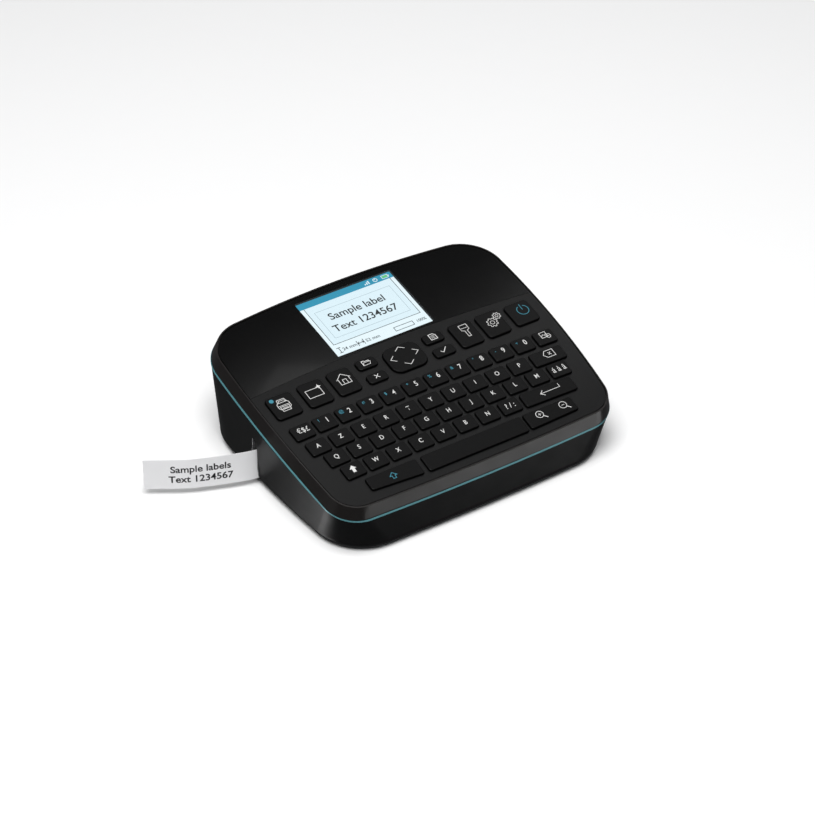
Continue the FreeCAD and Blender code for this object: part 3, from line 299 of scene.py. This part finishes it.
signs = bmesh.new()
bar_middle = PICTURE_HIGH - BAR / 2
SIGNAL, CLOCK, BATTERY = 15.6, 24.4, 29.8     # where the three signs stand along the bar
for number in range(3):
    left = SIGNAL + 1.5 * number
    add_patch(signs, box(left, bar_middle - 1.6, left + 0.9, bar_middle - 0.4 + number))
add_line(signs, circle(CLOCK, bar_middle, 1.5, 16), 0.5, closed=True)
add_line(signs, [(CLOCK, bar_middle), (CLOCK, bar_middle + 1.0)], 0.45)
add_line(signs, box(BATTERY, bar_middle - 1.4, BATTERY + 4.8, bar_middle + 1.4), 0.4,
         closed=True)
add_patch(signs, box(BATTERY + 5.1, bar_middle - 0.6, BATTERY + 5.7, bar_middle + 0.6))
on_screen("picture_signs", signs, screen_white)
charge = bmesh.new()
add_patch(charge, box(BATTERY + 0.4, bar_middle - 1.0, BATTERY + 4.4, bar_middle + 1.0))
on_screen("picture_charge", charge, screen_green)

field = bmesh.new()
add_patch(field, box(-34.4, -16.4, 34.4, PICTURE_HIGH - BAR))
on_screen("picture_field", field, screen_blue, FIELD_LEVEL, FIELD_THICK)
frames = bmesh.new()
FRAME_WIDE, FRAME_TOP, FRAME_BOTTOM = 34.6, 21.9, -16.6
add_line(frames, [(-FRAME_WIDE, FRAME_TOP), (-FRAME_WIDE, FRAME_BOTTOM),
                  (FRAME_WIDE, FRAME_BOTTOM), (FRAME_WIDE, FRAME_TOP)], 0.42)
on_screen("picture_frame", frames, screen_black)
soft = bmesh.new()
add_line(soft, box(-30.0, -11.5, 30.0, 15.6), 0.25, closed=True)
on_screen("picture_soft_lines", soft, screen_pale)

small = bmesh.new()
SIZES_MIDDLE = -22.8                          # middle of the line with the tape's sizes
add_line(small, box(10.2, SIZES_MIDDLE - 1.8, 25.0, SIZES_MIDDLE + 1.8), 0.5, closed=True)
add_letters(small, "24 mm", -25.8, SIZES_MIDDLE, 2.9, bold=0.012)
add_letters(small, "52 mm", -7.6, SIZES_MIDDLE, 2.9, bold=0.012)
add_letters(small, "100%", 31.4, -22.6, 2.6, bold=0.012)
on_screen("picture_small_words", small, screen_grey)
words = bmesh.new()
WORDS_MIDDLE, WORDS_HIGH = -1.2, 6.5
add_letters(words, "Sample label", WORDS_MIDDLE, 8.0, WORDS_HIGH, bold=0.012)
add_letters(words, "Text 1234567", WORDS_MIDDLE, -3.4, WORDS_HIGH, bold=0.012)
for points, width in (
        ([(-34.9, -20.4), (-31.9, -20.4)], 0.5),
        ([(-34.9, -25.2), (-31.9, -25.2)], 0.5),
        ([(-33.4, -20.4), (-33.4, -25.2)], 0.5),
        ([(-19.4, -20.2), (-19.4, -25.4)], 0.5),
        ([(-14.6, -20.2), (-14.6, -25.4)], 0.5),
        ([(-19.4, -22.8), (-14.6, -22.8)], 0.5),
        ([(-18.0, -21.6), (-19.2, -22.8), (-18.0, -24.0)], 0.4),
        ([(-16.0, -21.6), (-14.8, -22.8), (-16.0, -24.0)], 0.4)):
    add_line(words, points, width)
on_screen("picture_words", words, screen_black)

# ---------------------------------------------------------------- key caps
# All the keys are moulded caps in black with a fine matt texture. Their edges are rounded, and
# each cap stands in its own opening of the deck on a silicone mat.

ROWS = ("number_row_keys", "upper_letter_keys", "middle_letter_keys", "lower_letter_keys")
SINGLE_KEYS = ("print_key", "preview_key", "home_key", "open_key", "cancel_key", "navigation_pad",
               "save_key", "ok_key", "format_key", "settings_key", "power_key", "backspace_key",
               "enter_key", "shift_key", "space_bar", "zoom_key")
key_black = moulded("key_black", (0.002, 0.002, 0.0021), 0.38, 0.3, 0.008, mottle=0.08,
                    specular=0.14)
finish_parts(key_black, "key_plastic", *ROWS, *SINGLE_KEYS)
ink_white = moulded("ink_white", (0.62, 0.62, 0.61), 0.5, 0.2, 0.004, mottle=0.05)
ink_teal = moulded("ink_teal", (0.03, 0.20, 0.27), 0.5, 0.2, 0.004, mottle=0.05)
INK = 0.01                    # the ink stands this far proud of the cap

# ---------------------------------------------------------------- typing keys
# Four rows of small caps carry letters, figures and marks, printed in white; the second meaning
# of a figure key is printed smaller, in blue-green.

LETTER, FIGURE, SECOND = 3.6, 4.4, 2.6        # heights of a letter, a figure and its second mark
LETTERS = {
    "upper_letter_keys": "AZERTYUIOP",
    "middle_letter_keys": "QSDFGHJKLM",
    "lower_letter_keys": " WXCVBN ",
}


def on_keys(name, drawings, ink, body):
    """Lays drawings, each with the place of its own key, as one layer of ink."""
    whole = bmesh.new()
    carrier = bpy.data.meshes.new("carrier")
    for drawing, place in drawings:
        drawing.transform(raised(place, INK))
        drawing.to_mesh(carrier)
        whole.from_mesh(carrier)
        drawing.free()
    bpy.data.meshes.remove(carrier)
    lay(name, whole, Matrix(), ink, body)


def legend(name, form, key, ink=ink_white):
    """Prints one drawing on a key that is a part of its own."""
    on_keys(name, [(form, top_places(key)[0])], ink, key)


for row, letters in LETTERS.items():
    places = top_places(row)
    drawings = []
    for letter, place in zip(letters, places):
        if letter != " ":
            drawing = bmesh.new()
            add_letters(drawing, letter, 0, 0.9, LETTER, bold=0.012, width=0.86)
            drawings.append((drawing, place))
    if row == "middle_letter_keys":
        accents = bmesh.new()
        add_letters(accents, "á à â", 0, 0.7, 5.0, bold=0.004, width=0.86)
        drawings.append((accents, places[-1]))
    if row == "lower_letter_keys":
        arrow = bmesh.new()
        add_patch(arrow, [(0, 3.6), (-2.5, 0.9), (-1.1, 0.9), (-1.1, -2.1), (1.1, -2.1),
                          (1.1, 0.9), (2.5, 0.9)])
        drawings.append((arrow, places[0]))
        marks = bmesh.new()
        add_letters(marks, "? / :", 0, 0.5, FIGURE, bold=0.006, width=0.9)
        drawings.append((marks, places[-1]))
    on_keys(row + "_legends", drawings, ink_white, row)

SECONDS = "!@#$*%&°-+"
figure_places = top_places("number_row_keys")
whites, teals = [], []
for number, figure in enumerate("1234567890"):
    drawing = bmesh.new()
    add_letters(drawing, figure, 2.3, 1.6, FIGURE, bold=0.012, width=0.82)
    whites.append((drawing, figure_places[number + 1]))
    second = bmesh.new()
    add_letters(second, SECONDS[number], -3.4, 2.9, SECOND, bold=0.008)
    teals.append((second, figure_places[number + 1]))
money = bmesh.new()
add_letters(money, "€$£", 0.8, 1.2, 4.2, bold=0.004, width=0.9)
whites.append((money, figure_places[0]))
symbols = bmesh.new()
add_line(symbols, [(-2.4, -0.6), (2.2, -0.6), (2.2, 4.2), (-2.4, 4.2)], 0.38, closed=True)
add_line(symbols, [(-2.2, 0.6), (-0.6, 2.2), (0.6, 1.0), (2.0, 2.4)], 0.34)
add_line(symbols, circle(2.8, -0.2, 1.7, 18), 0.36, closed=True)
add_line(symbols, [(1.2, -0.2), (4.4, -0.2)], 0.32)
whites.append((symbols, figure_places[-1]))
on_keys("number_row_legends", whites, ink_white, "number_row_keys")
on_keys("number_row_second_legends", teals, ink_teal, "number_row_keys")

backspace = bmesh.new()
add_line(backspace, [(-2.9, 1.3), (-0.7, 4.2), (5.5, 4.2), (5.5, -1.6), (-0.7, -1.6)], 0.4,
         closed=True)
add_line(backspace, [(1.0, 2.5), (3.2, 0.1)], 0.38)
add_line(backspace, [(3.2, 2.5), (1.0, 0.1)], 0.38)
legend("backspace_legend", backspace, "backspace_key")
enter = bmesh.new()
add_line(enter, [(9.3, 3.2), (9.3, 0.3), (-5.6, 0.3)], 0.38)
add_line(enter, [(-3.6, 2.5), (-6.2, 0.3), (-3.6, -1.9)], 0.42)
legend("enter_legend", enter, "enter_key")
shift = bmesh.new()
add_line(shift, [(0, 3.2), (-2.6, 0.7), (-1.1, 0.7), (-1.1, -1.6), (1.1, -1.6), (1.1, 0.7),
                 (2.6, 0.7)], 0.42, closed=True)
shift.transform(Matrix.Translation((-0.9, -0.2, 0)))
legend("shift_legend", shift, "shift_key", ink_teal)

# ---------------------------------------------------------------- function keys
# The row above the figures holds larger keys with line drawings: print, preview, home, open,
# cancel, a four-way pad, save, accept, format, settings and power.

printer = bmesh.new()
add_line(printer, [(-3.1, 3.1), (-2.5, 5.7), (2.9, 5.7), (3.5, 3.1)], 0.4)
add_line(printer, [(-2.2, 3.3), (-1.7, 4.6), (2.2, 4.6), (2.7, 3.3)], 0.32)
add_line(printer, [(-3.4, 3.0), (3.8, 3.0), (4.6, 1.8), (4.6, -1.8), (3.6, -2.6), (-3.4, -2.6),
                   (-4.3, -1.6), (-4.3, 1.8)], 0.4, closed=True)
add_line(printer, [(-4.0, 0.4), (4.4, 0.4)], 0.34)
add_line(printer, [(-3.2, -0.6), (3.4, -0.6), (3.0, -4.6), (-2.8, -4.6)], 0.4, closed=True)
for level in (-1.8, -3.0):
    add_line(printer, [(-2.2, level), (2.3, level)], 0.3)
legend("print_legend", printer, "print_key")
dot = bmesh.new()
add_patch(dot, circle(-5.8, 6.6, 1.6))
legend("print_dot", dot, "print_key", ink_teal)

preview = bmesh.new()
add_line(preview, [(-6.0, -3.2), (4.9, -3.2), (4.9, 3.7), (-6.0, 3.7)], 0.42, closed=True)
star = []
for number in range(8):
    reach = 2.1 if number % 2 == 0 else 0.8
    turn = math.radians(45 * number)
    star.append((4.4 + reach * math.cos(turn), 4.2 + reach * math.sin(turn)))
add_patch(preview, star)
legend("preview_legend", preview, "preview_key")

home = bmesh.new()
add_line(home, [(-4.4, 2.0), (0.8, 6.6), (6.0, 2.0)], 0.42)
add_line(home, [(-3.2, 2.6), (-3.2, -2.6), (4.8, -2.6), (4.8, 2.6)], 0.42)
add_line(home, [(-0.6, -2.4), (-0.6, 1.4), (2.2, 1.4), (2.2, -2.4)], 0.38)
legend("home_legend", home, "home_key")

folder = bmesh.new()
add_line(folder, [(-2.8, -1.6), (-2.8, 2.4), (-1.2, 2.4), (-0.6, 1.7), (2.4, 1.7), (2.4, 0.8)],
         0.5)
add_line(folder, [(-2.8, -1.6), (2.3, -1.6), (3.3, 0.8), (-1.7, 0.8)], 0.34, closed=True)
legend("open_legend", folder, "open_key")

cancel = bmesh.new()
add_line(cancel, [(-1.6, -1.0), (1.6, 2.2)], 0.48)
add_line(cancel, [(1.6, -1.0), (-1.6, 2.2)], 0.48)
legend("cancel_legend", cancel, "cancel_key")

arrows = bmesh.new()
add_line(arrows, [(-3.6, 6.9), (0.1, 9.6), (3.8, 6.9)], 0.38)
add_line(arrows, [(-3.6, -4.9), (0.0, -7.6), (3.6, -4.9)], 0.38)
add_line(arrows, [(-7.3, 3.8), (-10.8, 1.2), (-7.3, -1.4)], 0.38)
add_line(arrows, [(7.5, 3.8), (11.0, 1.2), (7.5, -1.4)], 0.38)
legend("navigation_legend", arrows, "navigation_pad")

save = bmesh.new()
add_line(save, [(-2.2, -1.9), (-2.2, 3.1), (1.2, 3.1), (2.6, 1.6), (2.6, -1.9)], 0.5,
         closed=True)
for level in (1.6, 0.5, -0.6):
    add_line(save, [(-1.3, level), (1.6, level)], 0.3)
legend("save_legend", save, "save_key")

accept = bmesh.new()
add_line(accept, [(-2.7, 0.5), (-1.1, -1.1), (2.5, 2.7)], 0.48)
legend("ok_legend", accept, "ok_key")

brush = bmesh.new()
add_line(brush, [(-1.6, 3.0), (-1.6, 7.8), (4.4, 7.8), (4.4, 3.0)], 0.4)
add_line(brush, [(-1.6, 4.8), (4.4, 4.8)], 0.34)
add_line(brush, [(-1.6, 4.8), (-1.6, 3.2), (0.4, 2.2), (0.4, -3.2), (2.4, -3.2), (2.4, 2.2),
                 (4.4, 3.2), (4.4, 4.8)], 0.4)
legend("format_legend", brush, "format_key")


def add_cog(form, x, y, radius, teeth):
    """Outline of a small cog wheel with its bore."""
    points = []
    for number in range(teeth * 4):
        reach = radius if number % 4 < 2 else radius * 0.8
        turn = 2 * math.pi * (number + 0.5) / (teeth * 4)
        points.append((x + reach * math.cos(turn), y + reach * math.sin(turn)))
    add_line(form, points, 0.38, closed=True)
    add_line(form, circle(x, y, radius * 0.38, 14), 0.34, closed=True)


cogs = bmesh.new()
add_cog(cogs, 0.1, 0.8, 4.0, 8)
add_cog(cogs, 6.1, 4.9, 2.9, 8)
legend("settings_legend", cogs, "settings_key")

power = bmesh.new()
add_line(power, circle(2.0, 1.7, 4.2, 30, 116, 308), 0.48)
add_line(power, [(2.0, 2.0), (2.0, 7.2)], 0.48)
legend("power_legend", power, "power_key", ink_teal)

glass = bmesh.new()
for middle, level in ((-8.1, 1.8), (10.8, 2.0)):
    add_line(glass, circle(middle, level, 2.7, 22), 0.4, closed=True)
    add_line(glass, [(middle + 1.9, level - 1.9), (middle + 4.2, level - 4.2)], 0.55)
    add_line(glass, [(middle - 1.2, level), (middle + 1.2, level)], 0.34)
add_line(glass, [(-8.1, 0.6), (-8.1, 3.0)], 0.34)
legend("zoom_legend", glass, "zoom_key")

# ---------------------------------------------------------------- label, tape and exit
# The label is thin white plastic film, 24 mm wide, that curls away to the left as it leaves the
# slot. Two lines of black print stand in its middle. The slot has a black moulded trim.

film_white = moulded("film_white", (0.75, 0.75, 0.76), 0.32, 0.6, 0.003, mottle=0.02)
finish_parts(film_white, "tape", "printed_label", "label_tape", "tape_spool")
# The slot's trim is black, but it is given a dark grey that is much lighter than the case: painted
# highlight, standing in for the bright line along the edge of the slot's ridge.
trim_painted_highlight = moulded("trim_painted_highlight", (0.06, 0.06, 0.062), 0.22, 1.0, 0.003)
finish_parts(trim_painted_highlight, "trim_plastic", "label_exit_guide")


def front_of_label():
    """The label's front face seen from above: its points from the free end to the slot."""
    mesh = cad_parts["printed_label"].data
    low = min(vert.co.z for vert in mesh.vertices)
    line = []
    for face in mesh.polygons:
        if face.normal.y < -0.3 and abs(face.normal.z) < 0.1:
            for index in face.vertices:
                point = mesh.vertices[index].co
                if point.z - low < 0.01 * MM:
                    line.append((point.x, point.y))
    line = sorted(set((round(x, 7), round(y, 7)) for x, y in line))
    return [Vector((x, y, low)) for x, y in line]


def bend_along(form, line, start, height, lift):
    """Lays a flat drawing on an upright face that follows the line, start along it."""
    steps = [(b - a).length for a, b in zip(line, line[1:])]
    for vert in form.verts:
        away = start + vert.co.x * MM
        number = 0
        while number < len(steps) - 1 and away > steps[number]:
            away -= steps[number]
            number += 1
        a, b = line[number], line[number + 1]
        ahead = (b - a).normalized()
        outwards = Vector((ahead.y, -ahead.x, 0))
        vert.co = (a + ahead * away + outwards * lift * MM
                   + Vector((0, 0, height * MM + vert.co.y * MM)))


LABEL_WIDE = 24.0             # width of the tape, which stands upright here
PRINT_MIDDLE = 38.0           # from the label's free end to the middle of its print
PRINT_HIGH, PRINT_STEP, PRINT_LIFT = 5.5, 4.1, 0.02
print_form = bmesh.new()
add_letters(print_form, "Sample labels", 0, PRINT_STEP, PRINT_HIGH, bold=0.02)
add_letters(print_form, "Text 1234567", 0, -PRINT_STEP, PRINT_HIGH, bold=0.02)
bend_along(print_form, front_of_label(), PRINT_MIDDLE * MM, LABEL_WIDE / 2, PRINT_LIFT)
label_ink = moulded("label_ink", (0.012, 0.012, 0.013), 0.4, 0.4, 0.002)
lay("label_print", print_form, Matrix(), label_ink, "case", thick=0.03)

# ---------------------------------------------------------------- sheet steel, screws and pin
# The chassis that carries motors and gears is bright plated sheet steel and is screwed to legs of
# the floor. The cutter's frame and blade, the hinge pin and the USB shell are steel as well.

bright_steel = moulded("bright_steel", (0.50, 0.50, 0.51), 0.3, 0.4, 0.003)
tune(bright_steel, Metallic=1.0)
finish_parts(bright_steel, "steel", "mechanism_chassis", "screws", "usb_socket", "cutter_frame",
             "door_hinge_pin", "cutter_blade")

# ---------------------------------------------------------------- motors
# Two small direct-current motors in drawn steel cans hang from the chassis: one feeds the tape and
# the other moves the cutter.

motor_steel = moulded("motor_steel", (0.42, 0.42, 0.43), 0.42, 1.5, 0.003)
tune(motor_steel, Metallic=1.0)
finish_parts(motor_steel, "motor_steel", "feed_motor", "cutter_motor")

# ---------------------------------------------------------------- print head and platen
# The thermal head is an aluminium block with a ceramic face. It hangs from the chassis and presses
# the tape on a roller of dark rubber, which turns in the floor and the chassis.

head_alloy = moulded("head_alloy", (0.66, 0.66, 0.68), 0.45, 0.8, 0.004)
tune(head_alloy, Metallic=1.0)
finish_parts(head_alloy, "aluminium", "print_head")
platen_rubber = moulded("platen_rubber", (0.05, 0.05, 0.052), 0.75, 0.2, 0.01)
finish_parts(platen_rubber, "platen_rubber", "platen_roller")

# ---------------------------------------------------------------- gears and cutter carriage
# The pinions and the platen's gear are brass and are pressed on their shafts. The idler, the
# ribbon's gear and the blade's carriage with its rack are moulded in natural acetal.

gear_brass = moulded("gear_brass", (0.60, 0.42, 0.16), 0.3, 0.7, 0.002)
tune(gear_brass, Metallic=1.0)
finish_parts(gear_brass, "brass", "platen_gear", "motor_pinion", "cutter_pinion")
gear_white = moulded("gear_white", (0.76, 0.75, 0.68), 0.4, 1.0, 0.004)
finish_parts(gear_white, "gear_plastic", "idler_gear", "ribbon_drive_gear", "cutter_carriage")

# ---------------------------------------------------------------- cassette and ribbon spools
# The tape cassette is a tray with a lid, moulded in grey polystyrene. Its take-up spool is white,
# and the supply spool is wound with glossy black ribbon.

cassette_grey = moulded("cassette_grey", (0.26, 0.27, 0.29), 0.45, 0.5, 0.01)
finish_parts(cassette_grey, "cassette_plastic", "cassette_case", "cassette_cover")
spool_white = moulded("spool_white", (0.70, 0.70, 0.68), 0.45, 1.0, 0.004)
finish_parts(spool_white, "spool_plastic", "ribbon_takeup_spool")
ribbon_black = moulded("ribbon_black", (0.015, 0.015, 0.017), 0.2, 0.3, 0.003)
finish_parts(ribbon_black, "ribbon_film", "ribbon_supply_spool")

# ---------------------------------------------------------------- key mat, pivot and boards
# The silicone mat and the green board under it are held by bosses of the deck. The four-way pad
# tips on a small black pivot, and the main board stands on legs of the floor.

mat_silicone = moulded("mat_silicone", (0.06, 0.06, 0.06), 0.65, 0.5, 0.01)
finish_parts(mat_silicone, "silicone", "key_mat")
pivot_black = moulded("pivot_black", (0.014, 0.014, 0.015), 0.45, 0.5, 0.01)
finish_parts(pivot_black, "key_plastic", "navigation_pivot")
board_green = moulded("board_green", (0.012, 0.13, 0.05), 0.3, 2.0, 0.01)
finish_parts(board_green, "circuit_board", "keypad_board", "main_board")

# ---------------------------------------------------------------- power inlet and battery
# The barrel socket is black moulded plastic, held in the rear wall. The rechargeable pack is
# wrapped in dark blue shrink film and lies on its sliding cover.

socket_black = moulded("socket_black", (0.012, 0.012, 0.013), 0.4, 0.5, 0.01)
finish_parts(socket_black, "connector", "power_inlet")
battery_wrap = moulded("battery_wrap", (0.02, 0.03, 0.06), 0.3, 3.0, 0.02)
finish_parts(battery_wrap, "battery", "battery_pack")

# ---------------------------------------------------------------- feet
# Four round feet of soft black rubber are glued under the floor near its corners, and the case
# stands on them.

foot_rubber = moulded("foot_rubber", (0.022, 0.022, 0.023), 0.8, 0.3, 0.02)
finish_parts(foot_rubber, "foot_rubber", "rubber_feet")

# ---------------------------------------------------------------- floor, light and camera
# A plain pale floor, soft studio light from large panels and a long lens from the front left. Two
# panels are below the floor: they only show as soft reflections in the case's upright walls.

floor_mesh = bpy.data.meshes.new("floor")
floor_form = bmesh.new()
FLOOR_REACH = 6.0             # half the floor's width, in metres
bmesh.ops.create_grid(floor_form, x_segments=8, y_segments=8, size=FLOOR_REACH)
floor_form.to_mesh(floor_mesh)
floor_form.free()
floor = bpy.data.objects.new("floor", floor_mesh)
bpy.context.scene.collection.objects.link(floor)
floor_pale = moulded("floor_pale", (0.86, 0.86, 0.86), 0.6, 3.0, 0.01, mottle=0.005,
                     specular=0.2)
floor_mesh.materials.append(floor_pale)
floor.visible_glossy = False

world = bpy.data.worlds.new("studio")
world.use_nodes = True
sky = world.node_tree.nodes["Background"].inputs
sky["Color"].default_value = (0.95, 0.97, 1.0, 1)
sky["Strength"].default_value = 0.1
bpy.context.scene.world = world


def panel_light(name, place, aim, wide, high, power):
    """A soft box at a place, aimed at a point, all in metres."""
    light = bpy.data.lights.new(name, "AREA")
    light.shape = "RECTANGLE"
    light.size, light.size_y = wide, high
    light.energy = power
    lamp = bpy.data.objects.new(name, light)
    bpy.context.scene.collection.objects.link(lamp)
    lamp.location = place
    lamp.visible_camera = False
    lamp.rotation_euler = (Vector(aim) - Vector(place)).to_track_quat("-Z", "Y").to_euler()


panel_light("soft_box_above", (-0.6, -0.6, 2.3), (0, 0, 0), 1.6, 1.6, 82)
panel_light("soft_box_low", (-0.52, 0.15, -0.41), (-0.11, -0.05, 0.03), 0.36, 0.2, 2.4)
panel_light("soft_box_front", (0.33, -0.61, -0.34), (0, -0.09, 0.036), 0.7, 0.14, 0.95)
panel_light("strip_left", (0.2, 0.28, 0.9), (-0.1, -0.03, 0.05), 0.12, 0.45, 0.4)
panel_light("strip_right", (0.68, 0.4, 0.9), (0.1, 0.03, 0.06), 0.12, 0.45, 0.6)

# The camera's place in metres, and the directions of the picture's sides and of the view.
EYE = Vector((-0.88467, -1.32636, 1.26279))
RIGHT = Vector((0.83655, -0.54781, 0.00925))
DOWN = Vector((-0.32985, -0.51704, -0.78985))
AHEAD = Vector((0.43748, 0.65770, -0.61323))
bpy.context.scene.view_settings.view_transform = "Standard"
camera_data = bpy.data.cameras.new("camera")
camera_data.lens = 132.5
camera_data.sensor_width = 36.0
camera = bpy.data.objects.new("camera", camera_data)
camera.matrix_world = (Matrix.Translation(EYE)
                       @ Matrix((RIGHT, -DOWN, -AHEAD)).transposed().to_4x4())
bpy.context.scene.collection.objects.link(camera)
bpy.context.scene.camera = camera
